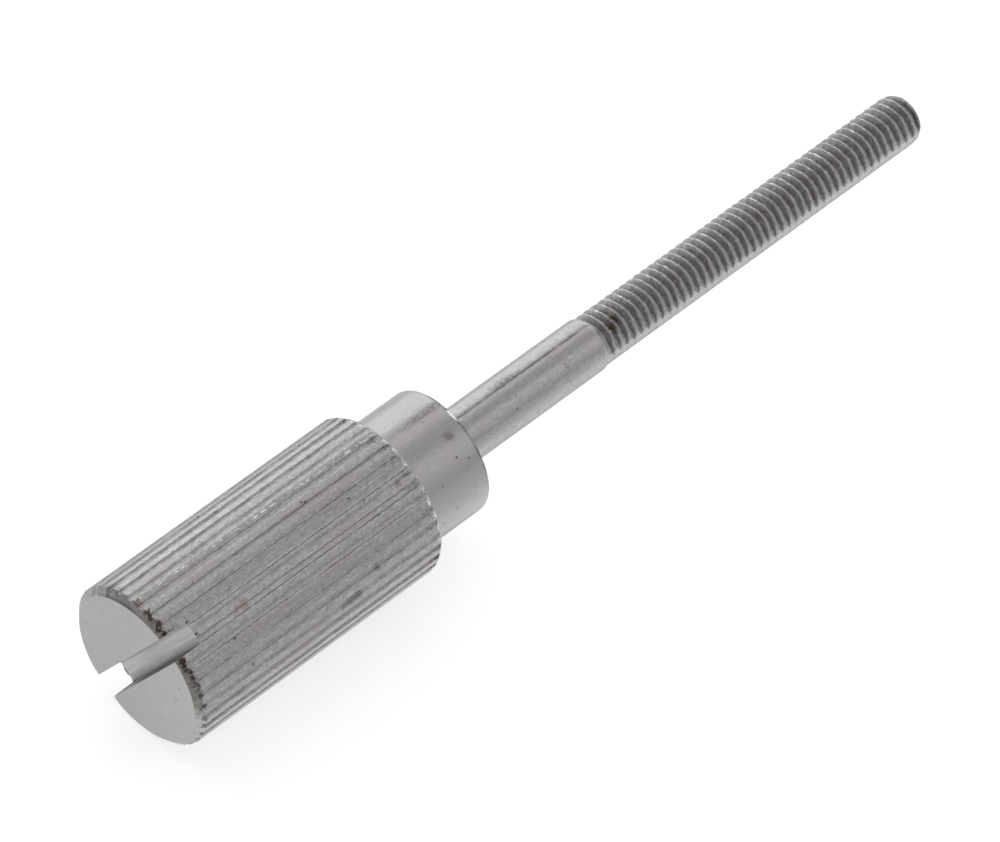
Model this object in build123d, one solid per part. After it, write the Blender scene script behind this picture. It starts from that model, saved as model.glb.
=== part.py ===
from build123d import *
import math
import os

# A slotted thumb screw, turned from one bar of steel and lying on its knurled head.
# +X runs along the screw towards the tip of the thread, and +Z is up.
# The origin is on the axis, where the shank leaves the shoulder's seat.
# All sizes are in millimetres, and angles in degrees.

# Knurled head
head_diameter = 12.6
head_length = 22.5
front_chamfer_length = 0.47
front_chamfer_depth = 0.53
back_chamfer_length = 0.35
back_chamfer_depth = 0.25

# Straight knurl: grooves pressed into the head, with a land of the bar left between each two
knurl_lands = 38
groove_width = 0.51
groove_floor_width = 0.34
groove_depth = 0.15

# Screwdriver slot, right across the front face
slot_width = 1.8
slot_depth = 2.1
slot_lean = 37.3

# Plain shoulder behind the head
shoulder_diameter = 9.8
shoulder_length = 5.85
shoulder_edge_radius = 0.3

# Plain shank
shank_diameter = 4.2
shank_length = 14.1
shank_end_length = 0.6

# Threaded end, drawn at the diameter of the crests
thread_diameter = 3.95
thread_length = 31.8
tip_chamfer_length = 0.55
tip_chamfer_depth = 0.35

# How far a cut runs past the metal that it removes
cut_overrun = 1.0

# Places along the axis
seat_x = 0.0
shoulder_x = seat_x - shoulder_length
front_x = shoulder_x - head_length
thread_x = seat_x + shank_length
tip_x = thread_x + thread_length

head_radius = head_diameter / 2
shoulder_radius = shoulder_diameter / 2
shank_radius = shank_diameter / 2
thread_radius = thread_diameter / 2


def turned_blank():
    """The bar as it leaves the lathe, before it is knurled and slotted: half its outline, spun about the axis."""
    edge_x = seat_x - shoulder_edge_radius
    edge_radius = shoulder_radius - shoulder_edge_radius
    edge_share = math.sqrt(0.5)
    edge_middle = (edge_x + shoulder_edge_radius * edge_share, edge_radius + shoulder_edge_radius * edge_share)
    head = Polyline(
        (front_x, 0),
        (front_x, head_radius - front_chamfer_depth),
        (front_x + front_chamfer_length, head_radius),
        (shoulder_x - back_chamfer_length, head_radius),
        (shoulder_x, head_radius - back_chamfer_depth),
        (shoulder_x, shoulder_radius),
        (edge_x, shoulder_radius),
    )
    shoulder_edge = ThreePointArc((edge_x, shoulder_radius), edge_middle, (seat_x, edge_radius))
    stem = Polyline(
        (seat_x, edge_radius),
        (seat_x, shank_radius),
        (thread_x - shank_end_length, shank_radius),
        (thread_x, thread_radius),
        (tip_x - tip_chamfer_length, thread_radius),
        (tip_x, thread_radius - tip_chamfer_depth),
        (tip_x, 0),
        (front_x, 0),
    )
    return revolve(make_face(head + shoulder_edge + stem), axis=Axis.X)


def knurl_groove():
    """One groove of the knurl, over the whole head: a flat floor with two steep sides, at the top of the bar."""
    half_top = groove_width / 2
    half_floor = groove_floor_width / 2
    land_edge_z = math.sqrt(head_radius**2 - half_top**2)
    side_spread = (half_top - half_floor) / groove_depth
    half_outside = half_top + side_spread * cut_overrun
    floor_z = land_edge_z - groove_depth
    outside_z = land_edge_z + cut_overrun
    section = Polyline(
        (-half_floor, floor_z),
        (half_floor, floor_z),
        (half_outside, outside_z),
        (-half_outside, outside_z),
        close=True,
    )
    start = Plane(origin=(front_x - cut_overrun, 0, 0), x_dir=(0, 1, 0), z_dir=(1, 0, 0))
    return extrude(start * make_face(section), amount=head_length + 2 * cut_overrun)


def knurl():
    """All the grooves, evenly round the axis, with the middle of a land at the very bottom."""
    groove = knurl_groove()
    pitch = 360 / knurl_lands
    first = 180 + pitch / 2
    return [Rot(X=first + index * pitch) * groove for index in range(knurl_lands)]


def driver_slot():
    """The saw cut for a screwdriver, leaning from the upright about the axis."""
    cut = Box(
        slot_depth + cut_overrun,
        slot_width,
        head_diameter + 2 * cut_overrun,
        align=(Align.MAX, Align.CENTER, Align.CENTER),
    )
    return Rot(X=slot_lean) * Pos(X=front_x + slot_depth) * cut


def thumb_screw():
    """The finished screw."""
    return turned_blank() - knurl() - driver_slot()


os.makedirs("parts", exist_ok=True)
export_step(thumb_screw(), "parts/thumb_screw.step")
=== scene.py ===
import math

import bmesh
import bpy
import numpy as np
from mathutils import Matrix, Vector


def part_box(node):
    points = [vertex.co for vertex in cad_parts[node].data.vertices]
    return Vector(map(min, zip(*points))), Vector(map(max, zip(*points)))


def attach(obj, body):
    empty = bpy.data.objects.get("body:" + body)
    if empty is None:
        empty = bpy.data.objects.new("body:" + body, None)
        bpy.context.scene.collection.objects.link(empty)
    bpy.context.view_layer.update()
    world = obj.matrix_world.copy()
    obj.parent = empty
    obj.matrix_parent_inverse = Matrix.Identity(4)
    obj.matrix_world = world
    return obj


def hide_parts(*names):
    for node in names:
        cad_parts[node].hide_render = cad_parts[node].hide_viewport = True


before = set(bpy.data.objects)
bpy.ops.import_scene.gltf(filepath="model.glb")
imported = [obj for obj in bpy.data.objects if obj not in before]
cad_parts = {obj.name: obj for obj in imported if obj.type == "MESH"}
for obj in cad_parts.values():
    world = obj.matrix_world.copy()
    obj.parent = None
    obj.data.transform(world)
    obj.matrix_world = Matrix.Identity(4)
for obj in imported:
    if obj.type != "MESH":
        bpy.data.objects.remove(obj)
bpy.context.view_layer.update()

# Knurled head: the thick end of the turned steel bar, gripped between finger and thumb.
# Straight grooves are rolled into it all the way round, with a flat land of the bar left between each two.
# Both rims are chamfered, so each groove ends in a small scallop. The slotted rim has begun to rust.
mm = 0.001
lowest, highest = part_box("thumb_screw")
front_x = lowest.x / mm
shoulder_x = -5.85
head_radius = 6.3
front_chamfer_length = 0.47
front_chamfer_depth = 0.53
back_chamfer_length = 0.35
back_chamfer_depth = 0.25
land_count = 38
land_pitch = 2 * math.pi / land_count
land_crown = 0.012
land_crown_reach = 0.6
groove_half_width = 0.255
groove_floor_share = 0.66
groove_depth = 0.15
groove_bow = 0.3
groove_drift = 0.030
groove_turn_spread = 0.022
groove_width_spread = 0.07
groove_depth_spread = 0.12
groove_depth_wave = 0.07
groove_edge_wander = 0.005
rough_end = 0.03
slot_near_side = 0.83
slot_near_draft = 0.02
slot_far_side = 0.97
slot_depth = 2.1
slot_floor_x = front_x + slot_depth
slot_turn = math.radians(37.3)
sight_turn = math.radians(34.7)
dice = np.random.default_rng(11)

KNURL, FACED, PLAIN, THREAD = range(4)
skins = []


def turned(x, radius, turn):
    """Points at the distance radius from the axis. The turn starts straight up and goes towards -Y,
    so y is minus radius times its sine, and z is radius times its cosine."""
    x, radius, turn = np.broadcast_arrays(x, radius, turn)
    return np.stack((x, -radius * np.sin(turn), radius * np.cos(turn)), axis=-1)


def smooth(share):
    """An S-shaped step from 0 to 1: three times the share squared, less twice its cube."""
    share = np.clip(share, 0, 1)
    return share * share * (3 - 2 * share)


def drifted(turn):
    """The knurl's steps grow a little round one half of the head and shrink round the other: the turn,
    plus a share of the sine of its distance from the side that is seen most."""
    return turn + groove_drift * np.sin(turn - sight_turn)


# Columns round the head: the middle of a land, its edge, the wall and floor of a groove, and back up again
wall_shares = np.array((1.45, 1.2, 1.0, 0.93, 0.83, 0.73, groove_floor_share, 0.33))
half_shares = np.concatenate((wall_shares, (0.0,), -wall_shares[::-1]))
groove_turn = drifted(math.pi + land_pitch * (np.arange(land_count) + 0.5))
groove_turn = groove_turn + dice.normal(0, groove_turn_spread, land_count) * land_pitch
groove_half = groove_half_width / head_radius * (1 + dice.normal(0, groove_width_spread, land_count))
groove_columns = groove_turn[:, None] - groove_half[:, None] * half_shares
land_turn = drifted(math.pi + land_pitch * np.arange(land_count + 1))[:, None]
land_side_near = (land_turn[:-1] + groove_columns[:, :1]) / 2
land_side_far = (land_turn[1:] + groove_columns[:, -1:]) / 2
column_turn = np.hstack((land_turn[:-1], land_side_near, groove_columns, land_side_far))
column_share = (column_turn - groove_turn[:, None]) / groove_half[:, None]
column_groove = np.repeat(np.arange(land_count)[:, None], column_turn.shape[1], axis=1)

# The columns are put in order from the slot round, and each gets its share of a groove's depth
slot_order = np.argsort((column_turn.ravel() - slot_turn) % (2 * math.pi))
column_turn = column_turn.ravel()[slot_order]
column_share = column_share.ravel()[slot_order]
column_groove = column_groove.ravel()[slot_order]
off_middle = np.abs(column_share)
groove_fill = smooth((1 - off_middle) / (1 - groove_floor_share)) * (1 - groove_bow * column_share**2)
crown_share = np.clip(1 + land_crown_reach - off_middle, 0, land_crown_reach) / land_crown_reach
edge_fall = land_crown * crown_share**2

# Each land and each groove has a tone of its own. One land near the top is dirtier than the others,
# and at both sides some lands are painted brighter as painted highlight, some are duller, and some grooves
# are painted darker as painted shade
dirty_land = 19
highlighted_lands = [13, 14, 15, 16, 29, 30, 31]
dull_lands = [18, 32]
shaded_grooves = [14, 15, 28, 29, 30, 31]
land_tone_spread = 0.04
groove_tone_middle, groove_tone_spread = 0.93, 0.05
land_tone = 1 + dice.normal(0, land_tone_spread, land_count)
land_tone[dirty_land] = 0.76
# painted highlight on these lands
land_tone[highlighted_lands] *= 1.13
land_tone[dull_lands] *= 0.84
groove_tone = groove_tone_middle + dice.normal(0, groove_tone_spread, land_count)
# painted shade in these grooves
groove_tone[shaded_grooves] *= 0.90
column_land = (column_groove + (column_share > 0)) % land_count
on_land = smooth((off_middle - 0.95) / 0.2)
column_tone = groove_tone[column_groove] * (1 - on_land) + land_tone[column_land] * on_land

wave_length = np.array((2.3, 5.1, 11.0))
wave_start = dice.uniform(0, 2 * math.pi, (3, land_count))
depth_share = 1 + dice.normal(0, groove_depth_spread, land_count)

# Round the head's far side the grooves are rolled shallow beside the slotted rim
shallow_turn = math.radians(-90)
shallow_half = math.radians(55)
shallow_length = 0.9
shallow_most = 0.75
off_shallow = np.abs((column_turn - shallow_turn + math.pi) % (2 * math.pi) - math.pi)
shallow_share = shallow_most * smooth((1 - off_shallow / shallow_half) * 2)


def knurl_radius(x):
    """Radius of the knurl at x: the bar's own radius, less the round of a land's edge, less the groove's
    depth, with steep walls and a hollow floor. Three waves along each groove make it deeper or shallower."""
    waves = sum(np.sin(2 * math.pi * x / wave_length[k] + wave_start[k][column_groove]) for k in range(3))
    depth = groove_depth * depth_share[column_groove] * (1 + groove_depth_wave * waves)
    depth = depth * (1 - shallow_share * smooth(1 - (x - front_x - front_chamfer_length) / shallow_length))
    return head_radius - edge_fall - depth * groove_fill


# Rows along the head: front face, end of the chamfer, slot's floor, start of the back chamfer, back face
front_slope = front_chamfer_depth / front_chamfer_length
back_slope = back_chamfer_depth / back_chamfer_length
front_rim = head_radius - front_chamfer_depth
back_rim = head_radius - back_chamfer_depth
front_ends = rough_end * np.abs(dice.normal(0, 1, len(column_turn)))
station_x = np.stack((
    np.full_like(column_turn, front_x),
    front_x + (knurl_radius(front_x) - front_rim) / front_slope + front_ends,
    np.full_like(column_turn, slot_floor_x),
    shoulder_x - (knurl_radius(shoulder_x) - back_rim) / back_slope,
    np.full_like(column_turn, shoulder_x),
))
row_place = np.concatenate((
    np.linspace(0, 1, 3), (1.08,), np.linspace(1, 2, 6)[1:],
    np.linspace(2, 3, 47)[1:], np.linspace(3, 4, 3)[1:],
))
row_from = np.minimum(row_place.astype(int), len(station_x) - 2)
row_share = (row_place - row_from)[:, None]
head_x = station_x[row_from] * (1 - row_share) + station_x[row_from + 1] * row_share
head_r = np.minimum(knurl_radius(head_x), front_rim + (head_x - front_x) * front_slope)
head_r = np.minimum(head_r, back_rim + (shoulder_x - head_x) * back_slope)

# The two corners beside the slot's lower end are knocked a little round
corner_wear = 0.12
corner_wear_turn = 0.16
corner_wear_length = 1.0
corner_off = np.abs((column_turn - slot_turn) % (2 * math.pi) - math.pi) - slot_far_side / head_radius
corner_round = smooth(1 - corner_off / corner_wear_turn)
head_r = head_r - corner_wear * corner_round * smooth(1 - (head_x - front_x) / corner_wear_length)

# Each side of a groove wanders a little on its way along the head, most at the edge of the land
wander_length = np.array((0.75, 1.3, 2.6))
wander_start = dice.uniform(0, 2 * math.pi, (3, 2, land_count))
wander_most, wander_end = 0.9, 1.3
groove_side = (column_share > 0).astype(int)
wander = sum(
    np.sin(2 * math.pi * head_x / wander_length[k] + wander_start[k][groove_side, column_groove])
    for k in range(3)
)
wander_share = np.clip(1.2 - np.abs(off_middle - wander_most) * 1.6, 0, 1) * (off_middle < wander_end)
head_turn = column_turn + wander * wander_share * groove_edge_wander / head_radius

# The slot cuts the ring of columns into two arcs, whose end columns stand on the slot's edges to its floor.
# The columns between them start at the floor, and are held between the slot's sides there, a hair apart
column_hair = 0.003
slot_side = (column_turn - slot_turn) % (2 * math.pi)
slot_margin = math.asin(slot_far_side / front_rim) + math.radians(0.3)
ring_size = len(column_turn)
half_ring = ring_size // 2
half_places = np.array((0, half_ring))
arc_first = np.searchsorted(slot_side, (slot_margin, math.pi + slot_margin)) - half_places
arc_end = np.searchsorted(slot_side, (math.pi - slot_margin, 2 * math.pi - slot_margin)) - half_places
arc_near = np.arange(arc_first.max(), arc_end.min())
arc_far = arc_near + half_ring
floor_row = int(np.flatnonzero(row_place == 2)[0])
slot_rows = slice(floor_row + 1)
slot_depth_share = (head_x[slot_rows] - front_x) / (slot_floor_x - front_x)
near_side = slot_near_side + slot_near_draft * (1 - 2 * slot_depth_share)
near_edge = np.arcsin(near_side / head_r[slot_rows])
far_edge = np.arcsin(slot_far_side / head_r[slot_rows])
head_turn[slot_rows, arc_near[0]] = slot_turn + near_edge[:, arc_near[0]]
head_turn[slot_rows, arc_near[-1]] = slot_turn + math.pi - near_edge[:, arc_near[-1]]
head_turn[slot_rows, arc_far[0]] = slot_turn + math.pi + far_edge[:, arc_far[0]]
head_turn[slot_rows, arc_far[-1]] = slot_turn - far_edge[:, arc_far[-1]]
inside_upper = np.arange(arc_far[-1], arc_near[0] + ring_size + 1) % ring_size
inside_lower = np.arange(arc_near[-1], arc_far[0] + 1)
for inside, middle in ((inside_upper, slot_turn), (inside_lower, slot_turn + math.pi)):
    aside = (head_turn[floor_row, inside] - middle + math.pi) % (2 * math.pi) - math.pi
    hair = column_hair / head_radius * np.arange(len(inside))
    head_turn[floor_row, inside] = middle + np.clip(aside, aside[0] + hair, aside[-1] - hair[::-1])
head = turned(head_x, head_r, head_turn)
whole_ring = np.append(np.arange(ring_size), 0)
skins.append((head[slot_rows, arc_near], KNURL))
skins.append((head[slot_rows, arc_far], KNURL))
skins.append((head[floor_row:, whole_ring], KNURL))
knurl_columns = np.concatenate([
    np.tile(columns, rows) for columns, rows in
    ((arc_near, floor_row + 1), (arc_far, floor_row + 1), (whole_ring, len(head) - floor_row))
])


def add_node(tree, kind, feeds, **settings):
    """Adds a node of that kind to a tree. Each input takes another node's socket, or a plain value."""
    node = tree.nodes.new("ShaderNode" + kind)
    for name, value in settings.items():
        setattr(node, name, value)
    for name, value in feeds.items():
        if isinstance(value, bpy.types.NodeSocket):
            tree.links.new(value, node.inputs[name])
        else:
            node.inputs[name].default_value = value
    return node


def scaled(parts, share):
    """A colour or a place with each of its parts times the share."""
    return add_node(parts.id_data, "VectorMath", {0: parts, "Scale": share}, operation="SCALE").outputs[0]


def steel_finish(name):
    """A new metal material, its tree, its shader, and the piece's own coordinates in millimetres."""
    material = bpy.data.materials.new(name)
    material.use_nodes = True
    tree = material.node_tree
    place = scaled(add_node(tree, "TexCoord", {}).outputs["Object"], 1 / mm)
    return material, tree, tree.nodes["Principled BSDF"], place


def grain_of(place, size, detail, roughness, stretch=(1, 1, 1)):
    """Noise whose grains are about size millimetres across. A stretch below 1 draws them out that way."""
    drawn = add_node(place.id_data, "VectorMath", {0: place, 1: stretch}, operation="MULTIPLY").outputs[0]
    feeds = {"Vector": drawn, "Scale": 1 / size, "Detail": detail, "Roughness": roughness}
    return add_node(place.id_data, "TexNoise", feeds).outputs[0]


def fade(value, start, end, low=0.0, high=1.0):
    """A soft step from low, where the value is start, to high, where it is end."""
    feeds = {"Value": value, "From Min": start, "From Max": end, "To Min": low, "To Max": high}
    return add_node(value.id_data, "MapRange", feeds, interpolation_type="SMOOTHSTEP").outputs[0]


def maths(operation, first, second=0.0):
    """One step of arithmetic on a number, or on two."""
    return add_node(first.id_data, "Math", {0: first, 1: second}, operation=operation).outputs[0]


def times(first, *others):
    """The product of two or more numbers."""
    for other in others:
        first = maths("MULTIPLY", first, other)
    return first


def plus(first, second):
    """The sum of two numbers."""
    return maths("ADD", first, second)


def less(first, second):
    """The first number, less the second."""
    return maths("SUBTRACT", first, second)


def larger(first, second):
    """The larger of two numbers."""
    return maths("MAXIMUM", first, second)


def along(place, direction):
    """How far a place stands along a direction: the dot product of the two."""
    feeds = {0: place, 1: direction}
    return add_node(place.id_data, "VectorMath", feeds, operation="DOT_PRODUCT").outputs["Value"]


def towards(place, turn, start, end):
    """A soft step over how far a place stands out from the axis towards a turn."""
    return fade(along(place, turned(0, 1, turn)), start, end)


def from_axis(place):
    """Distance from the screw's axis: the length of a place's y and z."""
    tree = place.id_data
    flat = add_node(tree, "VectorMath", {0: place, 1: (0, 1, 1)}, operation="MULTIPLY").outputs[0]
    return add_node(tree, "VectorMath", {0: flat}, operation="LENGTH").outputs["Value"]


def mixed(share, first, second):
    """A colour between two colours."""
    return add_node(share.id_data, "Mix", {0: share, 6: first, 7: second}, data_type="RGBA").outputs[2]


def grey(level, warmth=0.0):
    """A grey of that level, a little redder and less blue as the warmth grows."""
    return (level * (1 + warmth), level * (1 - 0.25 * warmth), level * (1 - warmth), 1)


def spots_on(place, ragged, spots):
    """How far any spot covers a place. Each spot is a distance along x, a turn in degrees, a radius from
    the axis, a size and a strength, and the ragged noise moves its edge in and out."""
    covered = None
    for x, turn, radius, size, strength in spots:
        feeds = {0: place, 1: tuple(turned(x, radius, math.radians(turn)))}
        away = add_node(place.id_data, "VectorMath", feeds, operation="DISTANCE").outputs["Value"]
        spot = fade(plus(away, ragged), size * 1.2, size * 0.5, 0.0, strength)
        covered = spot if covered is None else larger(covered, spot)
    return covered


def pits_on(place, spacing, size, share):
    """Small round pits: near the middles of that share of the cells of a Voronoi pattern."""
    tree = place.id_data
    cells = add_node(tree, "TexVoronoi", {"Vector": place, "Scale": 1 / spacing}).outputs
    chosen = fade(add_node(tree, "SeparateXYZ", {0: cells["Color"]}).outputs[0], share + 0.01, share)
    return times(fade(cells["Distance"], size / spacing, size / spacing / 3), chosen)


def dents(shader, heights, depth):
    """Feeds a bump map to the shader: the heights are noise, and the depth is in millimetres."""
    tree = shader.id_data
    bump = add_node(tree, "Bump", {"Height": heights, "Distance": depth * mm, "Strength": 1.0})
    tree.links.new(bump.outputs[0], shader.inputs["Normal"])


rust_dark = (0.024, 0.015, 0.012, 1)
rust_light = (0.34, 0.18, 0.10, 1)
stain_brown = (0.27, 0.185, 0.15, 1)
olive_edge_shade = (0.27, 0.27, 0.245, 1)
rim_x = front_x + 0.4
rust_clumps = (
    (rim_x + 0.15, 0, 6.22, 0.22, 0.5), (rim_x + 0.1, 10, 6.22, 0.26, 0.9), (rim_x, 13, 6.15, 0.16, 0.9),
    (rim_x + 0.1, 20, 6.2, 0.24, 1.0), (rim_x - 0.1, 23.5, 6.1, 0.26, 1.0),
    (rim_x - 0.05, 27, 6.12, 0.30, 1.0), (rim_x - 0.1, 48, 6.1, 0.34, 1.0),
    (rim_x - 0.1, 52, 6.1, 0.24, 1.0), (rim_x + 0.05, 56, 6.2, 0.2, 0.9),
)
rim_dirt = (
    (rim_x + 0.05, 59.5, 6.2, 0.24, 0.9), (rim_x + 0.05, 66, 6.2, 0.24, 0.8),
    (rim_x + 0.1, 74, 6.2, 0.24, 0.7), (rim_x + 0.1, 84, 6.2, 0.24, 0.7),
    (rim_x + 0.1, 94, 6.22, 0.24, 0.6), (rim_x + 0.5, 27.5, 6.3, 0.22, 0.5),
    (slot_floor_x + 0.05, 29.5, 6.25, 0.14, 1.0), (slot_floor_x + 0.05, 38.5, 6.25, 0.12, 0.9),
    (slot_floor_x + 0.05, 41.5, 6.25, 0.12, 0.9),
)
rim_stains = (
    (rim_x - 0.15, 57, 6.05, 0.5, 0.4), (rim_x - 0.15, 63, 6.05, 0.5, 0.45),
    (rim_x - 0.15, 69, 6.05, 0.5, 0.45), (rim_x - 0.15, 75, 6.05, 0.5, 0.4),
    (rim_x - 0.15, 81, 6.05, 0.4, 0.25), (rim_x + 0.1, -26, 6.2, 0.5, 0.5),
    (rim_x + 0.1, -18, 6.2, 0.4, 0.4),
)
brown_stains = (
    (-22.0, 40.8, 6.3, 0.40, 0.5), (-22.7, 41.8, 6.3, 0.40, 0.4), (-7.5, 36, 6.3, 0.28, 0.5),
    (-18.2, -25.7, 6.3, 0.14, 0.6), (rim_x + 0.1, 1.5, 6.2, 0.32, 0.75), (rim_x - 0.05, 16.5, 6.1, 0.30, 0.4),
)
head_smudges = (
    (-11.5, 72, 6.3, 0.14, 0.6), (-11.4, 61, 6.3, 0.13, 0.8), (-11.35, 63, 6.3, 0.13, 0.8),
    (-14.1, 31.7, 6.3, 0.12, 1.0), (-13.7, 11.4, 6.3, 0.13, 1.0), (-13.9, 10, 6.3, 0.11, 0.9),
    (-11.1, 25.8, 6.3, 0.12, 0.9), (-10.0, 43.0, 6.3, 0.12, 0.9), (-9.95, 44.5, 6.3, 0.12, 0.9),
    (-20.2, 60.5, 6.3, 0.12, 0.9), (-23.9, 54.4, 6.3, 0.15, 0.8), (-23.3, 77.5, 6.3, 0.15, 0.8),
    (-11.5, -33.7, 6.3, 0.14, 0.8), (-19.5, -34.7, 6.3, 0.16, 0.8), (-13.5, 22.6, 6.3, 0.10, 0.9),
)
head_smears = (
    (-15.2, 84.0, 6.3, 0.30, 0.30), (-14.9, 83.6, 6.3, 0.30, 0.40), (-14.6, 83.2, 6.3, 0.32, 0.50),
    (-14.3, 82.8, 6.3, 0.32, 0.50), (-14.0, 82.4, 6.3, 0.32, 0.55), (-13.7, 82.1, 6.3, 0.30, 0.60),
    (-13.5, 82.0, 6.3, 0.20, 0.75), (-11.7, 73.5, 6.3, 0.26, 0.60),
)
sparkle_slope, sparkle_place = 0.0095, -0.092
knurled, tree, shader, place = steel_finish("knurled_steel")
along_x = along(place, (1, 0, 0))
tone = add_node(tree, "Attribute", {}, attribute_name="tone").outputs["Fac"]
groove = add_node(tree, "Attribute", {}, attribute_name="groove_share").outputs["Fac"]
coarse = grain_of(place, 0.20, 4, 0.7, (0.6, 1, 1))
fine = grain_of(place, 0.06, 2, 0.6)
scratch = grain_of(place, 0.11, 3, 0.65, (0.05, 1, 1))
blotch = grain_of(place, 2.4, 3, 0.55, (0.35, 1, 1))
ragged = fade(grain_of(place, 0.25, 3, 0.7), 0.25, 0.75, -0.22, 0.22)
speck_edge = fade(fine, 0.25, 0.75, -0.07, 0.07)

# Speckled and scratched steel, with the walls of the grooves painted lighter as painted light that lifts
# their shade
speckled = mixed(fade(coarse, 0.30, 0.70), grey(0.385), grey(0.565))
on_wall = times(fade(groove, 0.58, 0.70), fade(groove, 1.06, 0.96))
toned = times(tone, fade(scratch, 0.30, 0.70, 0.90, 1.06), fade(on_wall, 0.0, 1.0, 1.0, 1.2))
stained = mixed(fade(blotch, 0.52, 0.75, 0, 0.6), scaled(speckled, toned), grey(0.40, 0.05))

# Painted highlights: bright points on the edges of the lands, round the back chamfer, and in a line along the
# top
on_edge = times(fade(groove, 0.96, 1.04), fade(groove, 1.40, 1.15))
glint = times(on_edge, fade(coarse, 0.52, 0.66, 0.0, 0.3))
back_edge = times(fade(along_x, shoulder_x - 0.5, shoulder_x - 0.38), fade(groove, 0.95, 1.05))
glint = larger(glint, times(back_edge, fade(coarse, 0.50, 0.60, 0.0, 0.9)))
sparkle_off = maths("ABSOLUTE", less(along(place, (sparkle_slope, 1, 0)), sparkle_place))
on_top = fade(along(place, (0, 0, 1)), 0.0, 1.0)
sparkle = times(fade(sparkle_off, 0.10, 0.03), on_top, fade(coarse, 0.52, 0.60, 0.0, 0.9))
painted_bright = mixed(larger(glint, sparkle), stained, grey(0.95))

# The slotted rim is dull, with a dark line above, an olive edge below darkened as painted shade, and a pale
# one beside the slot
rim = fade(plus(along_x, ragged), front_x + 0.72, front_x + 0.3, 0.0, 0.5)
rim_colour = mixed(fade(coarse, 0.35, 0.65), grey(0.28, 0.05), grey(0.42, 0.02))
rimmed = mixed(rim, painted_bright, rim_colour)
face_edge = plus(along_x, times(ragged, 0.3))
upper_edge = towards(place, math.radians(-8), 4.9, 5.6)
edge_line = times(fade(face_edge, front_x + 0.24, front_x + 0.08, 0.0, 0.7), upper_edge)
rimmed = mixed(edge_line, rimmed, grey(0.17, 0.05))
# painted shade on the lower edge of the chamfer, where it would mirror the bright floor
lower_edge = towards(place, math.radians(62), 5.1, 5.6)
lower_edge = times(fade(face_edge, front_x + 0.54, front_x + 0.40, 0.0, 0.75), lower_edge)
rimmed = mixed(lower_edge, rimmed, olive_edge_shade)
slot_edge = towards(place, math.radians(20), 5.4, 5.7)
slot_edge = times(fade(face_edge, front_x + 0.50, front_x + 0.36, 0.0, 0.65), slot_edge)
rimmed = mixed(slot_edge, rimmed, grey(0.56, 0.06))
plain_low = towards(place, math.radians(122), 4.9, 5.5)
plain_far = towards(place, math.radians(-88), 4.7, 5.5)
plain_rim = fade(face_edge, front_x + 0.54, front_x + 0.40, 0.0, 0.8)
rimmed = mixed(times(plain_rim, larger(plain_low, plain_far)), rimmed, grey(0.51))
rimmed = mixed(spots_on(place, ragged, rim_stains), rimmed, grey(0.14, 0.06))

# Dirt in the grooves near the back rim, then pits, stains, smears, smudges, and the rust
near_back = times(fade(along_x, shoulder_x - 1.5, shoulder_x - 0.6), fade(groove, 1.3, 0.9))
near_back = times(near_back, fade(blotch, 0.40, 0.60, 0.2, 1.0))
back_dirt = times(near_back, fade(ragged, -0.02, 0.08, 0.0, 0.8))
darkened = mixed(back_dirt, rimmed, grey(0.10, 0.04))
pit_place = add_node(tree, "VectorMath", {0: place, 1: ragged}, operation="ADD").outputs[0]
darkened = mixed(pits_on(pit_place, 0.8, 0.11, 0.35), darkened, grey(0.10, 0.05))
darkened = mixed(spots_on(place, ragged, brown_stains), darkened, stain_brown)
darkened = mixed(spots_on(place, times(ragged, 0.5), head_smears), darkened, grey(0.11, 0.12))
darkened = mixed(spots_on(place, speck_edge, head_smudges), darkened, grey(0.09, 0.08))
darkened = mixed(spots_on(place, ragged, rim_dirt), darkened, grey(0.055, 0.10))
rust = spots_on(place, ragged, rust_clumps)
rust_colour = mixed(fade(fine, 0.53, 0.66), rust_dark, rust_light)
tree.links.new(mixed(rust, darkened, rust_colour), shader.inputs["Base Color"])
tree.links.new(fade(rust, 0.0, 1.0, 1.0, 0.1), shader.inputs["Metallic"])
rough = plus(times(rim, 0.3), times(larger(on_wall, lower_edge), 0.22))
sheen = plus(fade(coarse, 0.3, 0.7, 0.27, 0.18), rough)
tree.links.new(larger(sheen, times(rust, 0.8)), shader.inputs["Roughness"])
relief = plus(coarse, times(fine, 0.3))
dents(shader, plus(relief, times(scratch, 0.25)), 0.02)

# Front face and driver slot: the bar's end is faced flat, and a slitting saw has cut once right across it.
# The steel here is even and satin, with a few pits, and the slot's floor is painted darker along its lower
# corner as painted shade.


def across(start, end, share):
    """Straight lines from start to end, at each share of their length."""
    return start + (end - start) * share


def end_share(arc):
    """How far along the slot each column of an arc stands, from 0 at its first column to 1 at its last."""
    along_slot = np.cos(head_turn[0, arc] - slot_turn)
    return (along_slot[0] - along_slot) / (along_slot[0] - along_slot[-1])


face_rows = np.linspace(0, 1, 4)[:, None, None]
arcs = (arc_near, arc_far[::-1])
shares = [end_share(arc) for arc in arcs]
for arc, share in zip(arcs, shares):
    wall = across(head[slot_rows, arc[:1]], head[slot_rows, arc[-1:]], share[None, :, None])
    skins.append((wall, FACED))
    skins.append((across(head[0, arc][None], wall[:1], face_rows), FACED))
side_share = np.linspace(0, 1, len(inside_upper))[None, :]
slot_floor_share = shares[1][:, None] * (1 - side_share) + shares[0][:, None] * side_share
floor_upper = head[floor_row, inside_upper][None]
floor_lower = head[floor_row, inside_lower[::-1]][None]
skins.append((across(floor_upper, floor_lower, slot_floor_share[..., None]), FACED))

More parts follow.
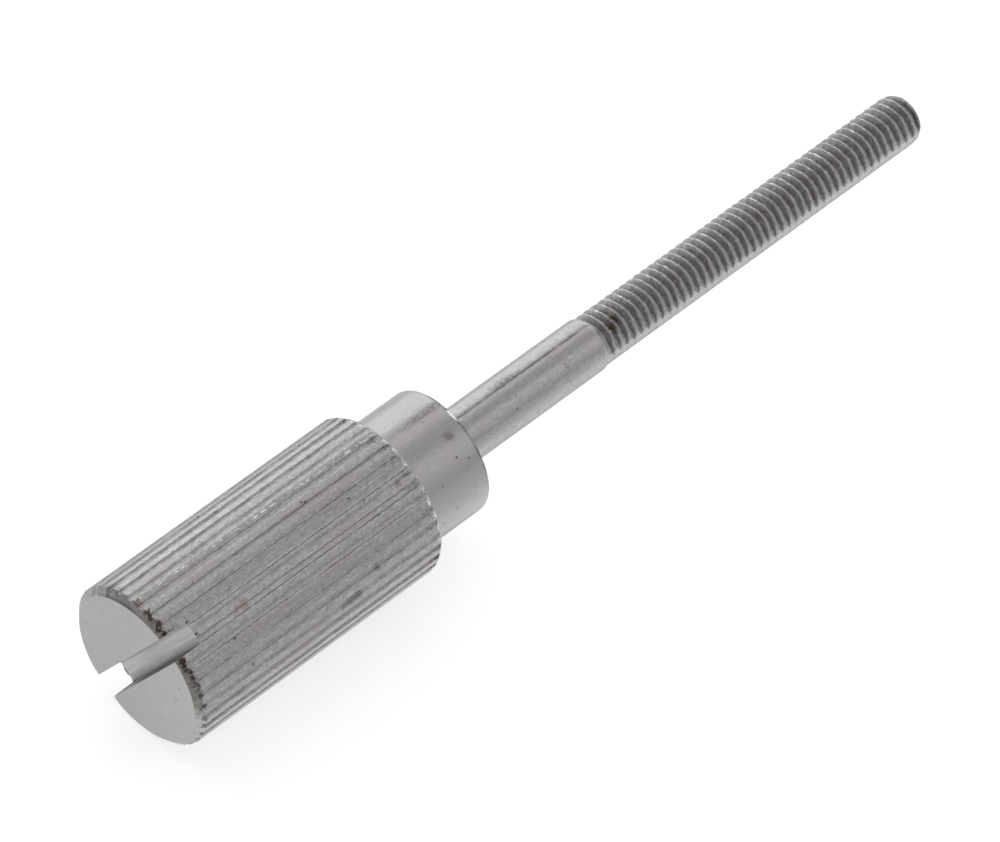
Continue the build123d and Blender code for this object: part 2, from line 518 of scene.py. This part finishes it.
slot_up = (0, -math.sin(slot_turn), math.cos(slot_turn))
slot_across = (0, -math.cos(slot_turn), -math.sin(slot_turn))
face_pits = (
    (front_x, 88, 3.9, 0.09, 0.8), (front_x, 71, 4.6, 0.08, 0.8),
    (front_x, -82, 5.1, 0.10, 0.4), (front_x, 70, 2.0, 0.07, 0.4),
    (slot_floor_x, 29.5, 6.2, 0.12, 1.0), (slot_floor_x, 38.5, 6.25, 0.10, 0.9),
    (slot_floor_x, 41.5, 6.25, 0.10, 0.9), (slot_floor_x, 209.6, 6.2, 0.14, 1.0),
    (slot_floor_x, 226.3, 6.2, 0.10, 0.8),
)
faced, tree, shader, place = steel_finish("faced_steel")
along_x = along(place, (1, 0, 0))
off_slot = along(place, slot_across)
up_slot = along(place, slot_up)
mottle = grain_of(place, 0.5, 4, 0.7)
fine = grain_of(place, 0.08, 2, 0.6)
ragged = fade(fine, 0.25, 0.75, -0.03, 0.03)
sawn_place = add_node(tree, "CombineXYZ", {0: up_slot, 1: off_slot, 2: along_x}).outputs[0]
sawn = grain_of(sawn_place, 0.22, 3, 0.6, (0.08, 1, 1))
in_slot = fade(along_x, front_x + 0.03, front_x + 0.12)
satin = mixed(fade(mottle, 0.3, 0.7), grey(0.492), grey(0.522))
sawn_steel = mixed(fade(sawn, 0.35, 0.65), grey(0.54), grey(0.64))
cut = mixed(in_slot, satin, sawn_steel)

# Painted shade darkens both sides of the slot's floor, where its walls and lips shade it.
# Round its lower end there is a dark line along the near lip and a dark rim of dirt, and the near lip above
# that is left light
slot_shade_and_dirt = plus(fade(off_slot, 0.20, 0.30, 0.0, 0.22), fade(off_slot, 0.52, 0.80, 0.0, 0.36))
slot_shade_and_dirt = times(in_slot, plus(slot_shade_and_dirt, fade(off_slot, -0.56, -0.70, 0.0, 0.30)))
on_lip = times(fade(off_slot, 0.70, 0.78), fade(along_x, slot_floor_x - 0.02, slot_floor_x - 0.08), in_slot)
lip_line = times(on_lip, fade(up_slot, -4.6, -5.0))
unshaded_lip = times(on_lip, fade(up_slot, -3.5, -4.5, 0.0, 0.9))
slot_shade_and_dirt = less(slot_shade_and_dirt, times(slot_shade_and_dirt, unshaded_lip))
lower_rim = times(fade(from_axis(place), 6.02, 6.14), fade(up_slot, -4.8, -5.6, 0.0, 0.8))
slot_shade_and_dirt = larger(slot_shade_and_dirt, times(in_slot, lower_rim))
# painted shade, with some dirt, in the slot
darkened = mixed(slot_shade_and_dirt, cut, grey(0.14))
darkened = mixed(lip_line, darkened, grey(0.03))
spotted = mixed(spots_on(place, ragged, face_pits), darkened, grey(0.10, 0.03))
tree.links.new(spotted, shader.inputs["Base Color"])
shader.inputs["Metallic"].default_value = 1.0
tree.links.new(fade(fine, 0.3, 0.7, 0.42, 0.52), shader.inputs["Roughness"])
dents(shader, plus(fine, sawn), 0.004)

# Shoulder and shank: plain turned lengths behind the head. The shoulder's far edge is rounded over,
# its end is the seat, and the slim shank runs on from there to the thread.
# Both are smooth, with a few specks and stains.
shoulder_radius = 4.9
shoulder_edge = 0.4
shank_radius = 2.1
shank_length = 14.1
shank_end_length = 0.34
thread_radius = 1.975
ring_step = land_pitch / 2
ring_turn = math.pi + ring_step * np.arange(2 * land_count + 1)


def ring_path(path):
    """A path of points (x, radius) carried once round the axis."""
    path = np.asarray(path, float)
    return turned(path[:, :1], path[:, 1:], ring_turn)


nearest_turn = math.pi + ring_step * np.round((column_turn - math.pi) / ring_step)
back_face = np.stack((head[-1], turned(shoulder_x, shoulder_radius, nearest_turn)))
skins.append((np.concatenate((back_face, back_face[:, :1]), axis=1), PLAIN))
edge_angle = np.linspace(0, math.pi / 2, 7)
edge_x = -shoulder_edge * (1 - np.sin(edge_angle))
edge_r = shoulder_radius - shoulder_edge * (1 - np.cos(edge_angle))
side_x = np.linspace(shoulder_x, -shoulder_edge, 9)[:-1]
shank_x = np.linspace(0, shank_length - shank_end_length, 12)
end_angle = np.linspace(0, math.pi / 2, 6)[1:]
end_x = shank_length - shank_end_length * (1 - np.sin(end_angle))
end_r = thread_radius + (shank_radius - thread_radius) * np.cos(end_angle)
plain_path = np.concatenate((
    np.stack((side_x, np.full_like(side_x, shoulder_radius)), axis=1),
    np.stack((edge_x, edge_r), axis=1),
    np.stack((np.zeros(3), np.linspace(shoulder_radius - shoulder_edge, shank_radius, 5)[1:-1]), axis=1),
    np.stack((shank_x, np.full_like(shank_x, shank_radius)), axis=1),
    np.stack((end_x, end_r), axis=1),
))
skins.append((ring_path(plain_path), PLAIN))

spot_brown = (0.27, 0.22, 0.205, 1)
brown_spot = ((-1.5, 29.5, 4.9, 0.50, 0.45), (-1.45, 29.8, 4.9, 0.36, 0.75))
rough_patch = (
    (5.0, -5, 2.1, 0.22, 0.35), (5.4, -3, 2.1, 0.26, 0.5), (5.9, -5, 2.1, 0.28, 0.6),
    (6.4, -6, 2.1, 0.26, 0.6), (6.9, -3, 2.1, 0.22, 0.45), (7.4, -1, 2.1, 0.20, 0.4),
)
plain_specks = (
    (-1.9, 47.3, 4.9, 0.11, 0.9), (-1.1, 52.8, 4.9, 0.14, 0.6), (-3.9, 60, 4.9, 0.12, 0.5),
    (-4.5, 93, 4.9, 0.10, 0.8), (-3.2, 86, 4.9, 0.13, 0.5), (-2.2, 7.4, 4.9, 0.14, 0.35),
    (5.6, 57, 2.1, 0.10, 0.8), (10.4, 76, 2.1, 0.10, 0.7), (6.0, 34.5, 2.1, 0.08, 0.6),
    (10.1, 11, 2.1, 0.09, 0.5), (10.6, 38, 2.1, 0.07, 0.5), (10.6, 43, 2.1, 0.07, 0.5),
    (10.6, 48, 2.1, 0.08, 0.6), (10.8, 46, 2.1, 0.07, 0.5), (11.0, 44, 2.1, 0.07, 0.5),
    (11.2, 42, 2.1, 0.07, 0.5),
)
# painted highlights on the shoulder's rounded edge, and two bright nicks on the shank
edge_glints_and_nicks = (
    (-0.2, 13.5, 4.85, 0.17, 1.0), (-0.2, 16, 4.85, 0.19, 1.0), (-0.2, 18.5, 4.85, 0.17, 1.0),
    (-0.2, 21, 4.85, 0.13, 0.8), (11.4, 36, 2.1, 0.09, 0.25), (11.15, 34, 2.1, 0.09, 0.25),
)
streak_y = -0.12
plain, tree, shader, place = steel_finish("plain_steel")
along_x = along(place, (1, 0, 0))
on_shank = fade(along_x, 0.1, 0.3)
cloud = grain_of(place, 1.6, 3, 0.55)
coarse = grain_of(place, 0.20, 3, 0.65, (0.5, 1, 1))
fine = grain_of(place, 0.08, 2, 0.6)
drawn = grain_of(place, 0.12, 3, 0.65, (0.08, 1, 1))
flecks = grain_of(place, 0.15, 3, 0.7, (0.7, 1, 1))
patches = grain_of(place, 0.6, 3, 0.6, (0.4, 1, 1))
speck_edge = fade(flecks, 0.25, 0.75, -0.05, 0.05)
speckled = fade(coarse, 0.3, 0.7)
shoulder_steel = mixed(speckled, grey(0.465), grey(0.505))
shank_steel = mixed(speckled, grey(0.43), grey(0.54))
mottled = mixed(on_shank, shoulder_steel, shank_steel)
mottled = mixed(fade(cloud, 0.40, 0.70, 0.0, 0.6), mottled, grey(0.475, 0.02))
mottled = scaled(mottled, fade(drawn, 0.30, 0.70, 0.975, 1.025))

# A dark streak along the top: a band of specks on the shoulder, and a broken line on the shank
streak_off = plus(maths("ABSOLUTE", less(along(place, (0, 1, 0)), streak_y)), speck_edge)
on_top = times(fade(along(place, (0, 0, 1)), 0.0, 1.0), fade(along_x, shank_length + 1, shank_length))
specks = times(fade(streak_off, 0.48, 0.12), fade(flecks, 0.42, 0.55, 0.12, 0.72))
specks = times(specks, fade(along_x, -5.2, -1.5, 0.1, 1.0))
line = times(fade(streak_off, 0.14, 0.04), fade(patches, 0.35, 0.60, 0.3, 0.9))
streak = plus(times(specks, fade(along_x, 0.3, 0.1)), times(line, on_shank))
streaked = mixed(times(streak, on_top), mottled, grey(0.17, 0.02))

# Pits, spots and specks, then the shoulder's rounded edge: painted shade on the side that is seen, with
# painted highlights on it, and a few bright nicks on the shank
pitted = mixed(pits_on(place, 0.9, 0.08, 0.30), streaked, grey(0.18, 0.03))
spot_edge = fade(grain_of(place, 0.3, 3, 0.7), 0.25, 0.75, -0.10, 0.10)
spotted = mixed(spots_on(place, spot_edge, brown_spot), pitted, spot_brown)
patch_edge = fade(flecks, 0.32, 0.68, -0.20, 0.20)
spotted = mixed(spots_on(place, patch_edge, rough_patch), spotted, grey(0.16, 0.03))
spotted = mixed(spots_on(place, speck_edge, plain_specks), spotted, grey(0.16, 0.04))
on_edge = times(fade(along_x, -0.36, -0.24), fade(from_axis(place), 4.46, 4.56))
on_edge = times(on_edge, towards(place, sight_turn, -1.0, 2.0))
edged = mixed(times(on_edge, fade(patches, 0.40, 0.58, 0.3, 0.95)), spotted, grey(0.12, 0.02))
glinted_and_nicked = mixed(spots_on(place, speck_edge, edge_glints_and_nicks), edged, grey(0.97))
tree.links.new(glinted_and_nicked, shader.inputs["Base Color"])
shader.inputs["Metallic"].default_value = 1.0
tree.links.new(fade(coarse, 0.3, 0.7, 0.23, 0.16), shader.inputs["Roughness"])
dents(shader, plus(coarse, times(fine, 0.3)), 0.008)

# Threaded end: a right-hand thread cut with a die, its crests painted bright with painted highlights on the
# lit side, with a small chamfer at the tip.
# The die stood a little off the axis, so the thread runs out on one side, where the bar is left plain.
# Its flanks are dull and dark, and an oily brown stain sits in the first turns.
thread_pitch = 0.7
thread_depth = 0.42
crest_offset = 0.128
crest_half = 0.055
root_half = 0.0833
crest_wobble = 0.022
crest_nick = 0.035
crest_nick_start, crest_nick_limit = 0.6, 2
bare_turn = math.radians(134.7)
bare_half = math.radians(43)
bare_fade = math.radians(26)
least_cut = 0.08
thread_x = shank_length
tip_x = highest.x / mm
tip_chamfer_length = 0.55
tip_chamfer_depth = 0.35
thread_run_in = 0.15


def thread_cut(share):
    """Depth of the thread at a share of the pitch from a crest's middle: a flat crest, a straight flank
    and a flat root."""
    away = np.abs((share + 0.5) % 1 - 0.5)
    return np.clip((away - crest_half) / (0.5 - root_half - crest_half), 0, 1)


# How much of the thread's depth is cut at each turn, and where the crest's edges come to stand for it:
# the depth rises steeply from the bare side, so that each groove ends in a round point
off_bare = np.abs((ring_turn - bare_turn + math.pi) % (2 * math.pi) - math.pi)
cut_share = 1 - (1 - least_cut) * (1 - np.clip((off_bare - bare_half) / bare_fade, 0, 1)) ** 2
root_place = 0.5 - root_half
crest_place = root_place - cut_share * (root_place - crest_half)
flank = root_place - crest_place
root_start = np.full_like(flank, root_place)
root_end = 1 - root_start
thread_steps = np.stack((
    -crest_place, crest_place, crest_place + 0.35 * flank, crest_place + 0.7 * flank,
    root_start, root_end, root_end + 0.3 * flank, root_end + 0.65 * flank,
))

# The steps are carried along the helix, where the crests wobble and are nicked a little.
# Three neighbours with the weights 1, 2 and 1 make the wobble smooth, and the root of 6 is their spread
wobble_spread = 2.45
turns_in = (ring_turn - sight_turn) / (2 * math.pi)
thread_turns = np.arange(-3, int((tip_x - thread_x) / thread_pitch) + 3)
ring_steps = len(ring_turn) - 1
thread_grid_share = (thread_turns[:, None, None] + thread_steps).reshape(-1, ring_steps + 1)
turn_below = np.floor(thread_grid_share).astype(int)
turn_part = thread_grid_share - turn_below
helix_step = (turn_below - turn_below.min()) * ring_steps + np.arange(ring_steps + 1)
helix_length = helix_step.max() + ring_steps + 1
wobble = dice.normal(0, 1, helix_length)
wobble = crest_wobble * (np.roll(wobble, 1) + 2 * wobble + np.roll(wobble, -1)) / wobble_spread
wobble_grid = wobble[helix_step] * (1 - turn_part) + wobble[helix_step + ring_steps] * turn_part
nicks = crest_nick * np.clip(dice.normal(0, 1, helix_length) - crest_nick_start, 0, crest_nick_limit)
nick_grid = nicks[helix_step + ring_steps * (turn_part > 0.5)] * cut_share
thread_grid_x = thread_x + crest_offset + thread_pitch * (thread_grid_share + turns_in + wobble_grid)
thread_grid_x = np.clip(thread_grid_x, thread_x, tip_x)
thread_grid_share = (thread_grid_x - thread_x - crest_offset) / thread_pitch - turns_in - wobble_grid
thread_grid_cut = np.maximum(thread_cut(thread_grid_share) - (1 - cut_share), 0)
run_in = smooth((thread_grid_x - thread_x) / thread_run_in) * smooth((tip_x - thread_grid_x) / thread_run_in)
thread_grid_r = thread_radius - np.maximum(thread_depth * thread_grid_cut, nick_grid) * run_in
tip_cone = thread_radius - tip_chamfer_depth * np.clip(1 - (tip_x - thread_grid_x) / tip_chamfer_length, 0, 1)
thread_grid_r = np.minimum(thread_grid_r, tip_cone)
skins.append((turned(thread_grid_x, thread_grid_r, ring_turn), THREAD))
tip_share = np.linspace(1, 0, 4)[:, None]
skins.append((turned(tip_x, thread_grid_r[-1:] * tip_share, ring_turn), PLAIN))

oil_brown = (0.17, 0.135, 0.085, 1)
blush_red = (0.34, 0.25, 0.235, 1)
thread_stains = (
    (15.5, 38, 1.75, 0.42, 0.9), (15.9, 22, 1.75, 0.36, 0.8),
    (15.4, 30, 1.8, 0.30, 0.8), (14.3, 33, 1.9, 0.3, 0.5),
)
thread_blushes = (
    (21.3, 42, 1.8, 0.40, 0.4), (24.3, 48, 1.8, 0.40, 0.35), (30.2, 30, 1.8, 0.45, 0.6),
    (35.3, 29, 1.8, 0.45, 0.6), (38.5, 30, 1.8, 0.40, 0.4), (33.0, 45, 1.8, 0.40, 0.4),
)
threaded, tree, shader, place = steel_finish("thread_steel")
coarse = grain_of(place, 0.25, 3, 0.65)
blotch = grain_of(place, 1.3, 3, 0.6)
sparkle = grain_of(place, 0.35, 2, 0.6)
ragged = fade(coarse, 0.25, 0.75, -0.2, 0.2)
off_axis = from_axis(place)
deep = fade(off_axis, thread_radius - 0.035, thread_radius - 0.075)
lit_side = fade(along(place, (0, 1, 0)), -1.3, 0.2)

# Crests: plain on the near side, paler on the bare strip below, and on the lit side painted brighter with
# painted glints
grained = fade(coarse, 0.36, 0.66)
plain_crest = mixed(grained, grey(0.385), grey(0.47))
bare_steel = mixed(grained, grey(0.49), grey(0.60))
plain_crest = mixed(fade(along(place, (0, 0, 1)), 0.5, -0.2), plain_crest, bare_steel)
bright_crest = mixed(grained, grey(0.50), grey(0.67))
bright_crest = mixed(fade(sparkle, 0.57, 0.63), bright_crest, grey(0.97))
# painted highlight on the lit side's crests
painted_bright = mixed(lit_side, plain_crest, bright_crest)

# Flanks and roots: dull, a little lighter up the lit flanks, with a reddish blush here and there
dull = mixed(fade(coarse, 0.3, 0.7), grey(0.30), grey(0.50))
dull = mixed(fade(blotch, 0.5, 0.75, 0.0, 0.5), dull, grey(0.34, 0.08))
on_flank = fade(off_axis, thread_radius - 0.30, thread_radius - 0.05, 0.0, 0.8)
dull = mixed(times(on_flank, lit_side), dull, grey(0.55))
dull = mixed(spots_on(place, ragged, thread_blushes), dull, blush_red)
cut = mixed(deep, painted_bright, dull)
# The tip's chamfer is painted dark, as painted shade
tip_edge = fade(along(place, (1, 0, 0)), tip_x - 0.45, tip_x - 0.32, 0.0, 0.75)
cut = mixed(times(tip_edge, fade(coarse, 0.62, 0.50)), cut, grey(0.12, 0.03))
stained = mixed(spots_on(place, ragged, thread_stains), cut, oil_brown)
tree.links.new(stained, shader.inputs["Base Color"])
shader.inputs["Metallic"].default_value = 1.0
tree.links.new(fade(coarse, 0.3, 0.7, 0.38, 0.26), shader.inputs["Roughness"])
dents(shader, coarse, 0.012)

# The finished screw: all its turned lengths are one piece of steel, with nothing fixed on,
# so their skins are welded to one closed mesh.
weld_distance = 0.0015
sharp_angle = math.radians(28)


def grid_faces(rows, columns, first):
    """Corners of the quads between neighbouring rows and columns of a grid that starts at vertex first."""
    number = first + np.arange(rows * columns).reshape(rows, columns)
    corners = (number[:-1, :-1], number[:-1, 1:], number[1:, 1:], number[1:, :-1])
    return np.stack(corners, axis=-1).reshape(-1, 4)


sizes = [points.shape[0] * points.shape[1] for points, _ in skins]
firsts = np.concatenate(((0,), np.cumsum(sizes)[:-1]))
all_faces = [grid_faces(*points.shape[:2], first) for (points, _), first in zip(skins, firsts)]
all_points = np.concatenate([points.reshape(-1, 3) for points, _ in skins]) * mm
mesh = bpy.data.meshes.new("turned_steel_screw")
mesh.from_pydata(all_points.tolist(), [], np.concatenate(all_faces).tolist())
finish_index = np.concatenate([np.full(len(faces), finish) for faces, (_, finish) in zip(all_faces, skins)])
mesh.polygons.foreach_set("material_index", finish_index.astype(np.int32))
for name, values in (("groove_share", off_middle), ("tone", column_tone)):
    per_point = np.ones(len(all_points), np.float32)
    per_point[: len(knurl_columns)] = values[knurl_columns]
    mesh.attributes.new(name, "FLOAT", "POINT").data.foreach_set("value", per_point)
welded = bmesh.new()
welded.from_mesh(mesh)
bmesh.ops.remove_doubles(welded, verts=welded.verts, dist=weld_distance * mm)
bmesh.ops.recalc_face_normals(welded, faces=welded.faces)
welded.to_mesh(mesh)
welded.free()
mesh.shade_smooth()
mesh.set_sharp_from_angle(angle=sharp_angle)
screw = bpy.data.objects.new("turned_steel_screw", mesh)
bpy.context.scene.collection.objects.link(screw)
for material in (knurled, faced, plain, threaded):
    mesh.materials.append(material)
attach(screw, "root")
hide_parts("thumb_screw")

# Floor and light: a wide pale floor in a soft studio, bright behind the screw and dimmer above and in front.
# The floor shows white, keeps a soft shadow, and is brightest to the metal close to the screw.
floor_half = 3.0
floor_z = lowest.z
floor_camera_lift = 0.66
floor_mesh = bpy.data.meshes.new("pale_floor")
floor_corners = floor_half * np.array(((-1, -1), (1, -1), (1, 1), (-1, 1)), float)
floor_points = np.column_stack((floor_corners, np.full(4, floor_z)))
floor_mesh.from_pydata(floor_points.tolist(), [], [(0, 1, 2, 3)])
pale_floor = bpy.data.objects.new("pale_floor", floor_mesh)
bpy.context.scene.collection.objects.link(pale_floor)
floor_paint = bpy.data.materials.new("floor_paint")
floor_paint.use_nodes = True
floor_tree = floor_paint.node_tree
floor_shader = floor_tree.nodes["Principled BSDF"]
floor_shader.inputs["Base Color"].default_value = (0.8, 0.8, 0.8, 1)
floor_shader.inputs["Roughness"].default_value = 1.0
floor_shader.inputs["Specular IOR Level"].default_value = 0.0
floor_shader.inputs["Emission Color"].default_value = (1, 1, 1, 1)


def level_ramp(value, stops):
    """A colour ramp over a value from 0 to 1. Each stop is a place and the colour there."""
    ramp = add_node(value.id_data, "ValToRGB", {"Fac": value})
    while len(ramp.color_ramp.elements) < len(stops):
        ramp.color_ramp.elements.new(0.5)
    for element, (position, colour) in zip(ramp.color_ramp.elements, stops):
        element.position = position
        element.color = colour
    return ramp.outputs["Color"]


# How bright the metal sees the floor, against y in millimetres, and before the head's slotted end
floor_near, floor_far = -180.0, 100.0
floor_lifts = (
    (-180, 0.09), (-31, 0.19), (-18, 0.27), (-13, 0.36), (-10, 0.47), (-8, 0.54), (-6, 0.55),
    (-4.6, 0.53), (-3.4, 0.47), (-2, 0.36), (-0.5, 0.18), (1.5, 0.16), (4, 0.30), (8, 0.60),
    (10, 0.56), (14, 0.36), (18, 0.25), (31, 0.26), (60, 0.38), (100, 0.46),
)
end_glow_near, end_glow_far = 0.58, 0.47
under_head_glow = 0.18
floor_stops = [((y - floor_near) / (floor_far - floor_near), grey(lift)) for y, lift in floor_lifts]
light_path = add_node(floor_tree, "LightPath", {}).outputs
floor_place = add_node(floor_tree, "TexCoord", {}).outputs["Object"]
floor_x = along(floor_place, (1, 0, 0))
floor_y = along(floor_place, (0, 1, 0))
floor_feeds = {"Value": floor_y, "From Min": floor_near * mm, "From Max": floor_far * mm}
floor_share = add_node(floor_tree, "MapRange", floor_feeds).outputs[0]
glow = level_ramp(floor_share, floor_stops)
before_head = fade(floor_x, (front_x + 2.5) * mm, (front_x + 0.3) * mm)
# The floor's glow is dimmer under the head and shoulder, a painted shadow that the metal mirrors
under_head = times(fade(floor_y, -4.9 * mm, -2.9 * mm), fade(floor_y, 2 * mm, 0))
under_head = times(under_head, fade(floor_x, 2.5 * mm, 0))
glow = mixed(under_head, glow, grey(under_head_glow))
end_away = fade(floor_y, -1 * mm, 5 * mm)
end_glow = mixed(end_away, grey(end_glow_near), grey(end_glow_far))
glow = mixed(before_head, glow, end_glow)
mirrored = larger(light_path["Is Glossy Ray"], light_path["Is Transmission Ray"])
mirror_lift = times(mirrored, glow)
camera_lift = times(light_path["Is Camera Ray"], floor_camera_lift)
floor_tree.links.new(plus(mirror_lift, camera_lift), floor_shader.inputs["Emission Strength"])
floor_mesh.materials.append(floor_paint)

# The studio's light against the angle round the screw: from behind, over the top, to the front
studio = bpy.data.worlds.new("soft_studio")
studio.use_nodes = True
bpy.context.scene.world = studio
sky = studio.node_tree
sky_place = add_node(sky, "TexCoord", {}).outputs["Generated"]
sky_parts = add_node(sky, "SeparateXYZ", {0: sky_place}).outputs
sky_angle = maths("ARCTAN2", sky_parts["Z"], sky_parts["Y"])
sky_share = add_node(sky, "MapRange", {"Value": sky_angle, "From Max": math.pi}).outputs[0]
back_light = np.array((0.995, 1.0, 1.03, 1))
front_light = np.array((1.04, 1.0, 1.03, 1))
back_levels = ((0.0, 0.97), (0.235, 0.97))
front_levels = (
    (0.285, 0.56), (0.33, 0.58), (0.37, 0.65), (0.42, 0.65), (0.50, 0.45),
    (0.60, 0.40), (0.65, 0.46), (0.70, 0.58), (0.78, 0.57), (0.94, 0.42),
)
sky_stops = [(stop, tuple(level * back_light)) for stop, level in back_levels]
sky_stops += [(stop, tuple(level * front_light)) for stop, level in front_levels]
sky_background = sky.nodes["Background"]
sky.links.new(level_ramp(sky_share, sky_stops), sky_background.inputs["Color"])
sky.links.new(fade(sky_parts["X"], -0.6, 0.1, 0.42, 1.23), sky_background.inputs["Strength"])
bpy.context.scene.view_settings.view_transform = "Standard"

# Camera: a long lens well above the head's end,
# tipped a little to one side as in the photograph.
camera_data = bpy.data.cameras.new("camera")
camera_data.lens = 271.19
camera_data.sensor_width = 36.0
camera = bpy.data.objects.new("camera", camera_data)
bpy.context.scene.collection.objects.link(camera)
camera.rotation_mode = "QUATERNION"
azimuth, elevation, roll = (math.radians(angle) for angle in (-42.719, 46.696, -1.952))
facing = Matrix.Rotation(azimuth, 3, "Z")
facing = facing @ Matrix.Rotation(math.pi / 2 - elevation, 3, "X") @ Matrix.Rotation(roll, 3, "Z")
camera.location = Vector((-237.106, -262.766, 378.140)) * mm
camera.rotation_quaternion = facing.to_quaternion()
camera_data.clip_start = 0.01
camera_data.clip_end = 20.0
bpy.context.scene.camera = camera
